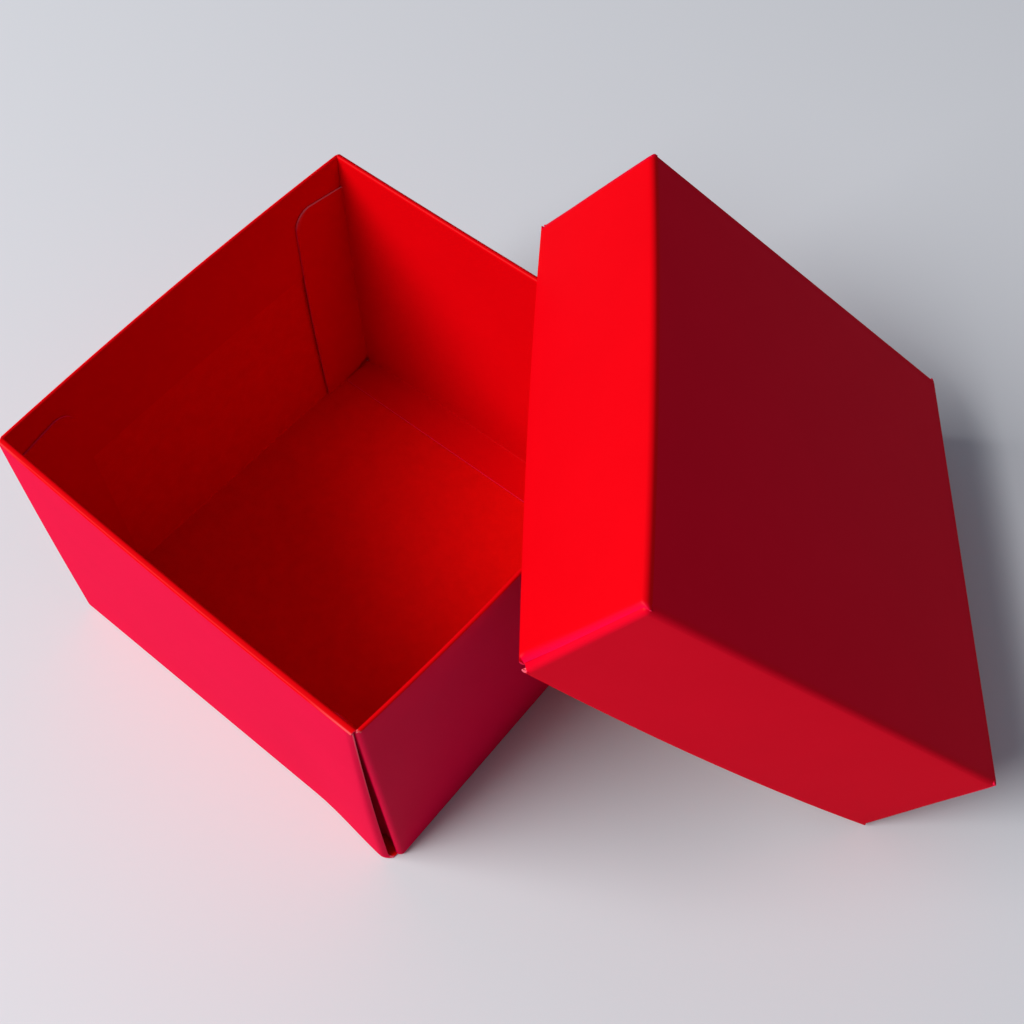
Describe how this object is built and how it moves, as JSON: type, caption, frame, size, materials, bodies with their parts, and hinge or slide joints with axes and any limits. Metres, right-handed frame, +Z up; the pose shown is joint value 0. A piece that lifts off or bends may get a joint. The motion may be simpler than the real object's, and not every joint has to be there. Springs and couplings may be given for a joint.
{
  "type": "folding gift box with lift-off lid",
  "caption": "Square folding card gift box: an open tray with doubled, tucked walls, and a shallow lift-off lid that leans over one corner of the tray.",
  "frame": {"origin": "centre of the tray's underside, on the surface that the tray and the lid's lower rim stand on", "axes": "+Z up out of the tray, +X square to a hemmed wall and +Y square to a doubled wall, so that the lid leans over the corner at +X +Y"},
  "size_m": [0.1934, 0.1693, 0.0959],
  "materials": {
    "red_card": "satin"
  },
  "bodies": {
    "root": {"tray": "red_card", "lid": "red_card"}
  },
  "joints": []
}
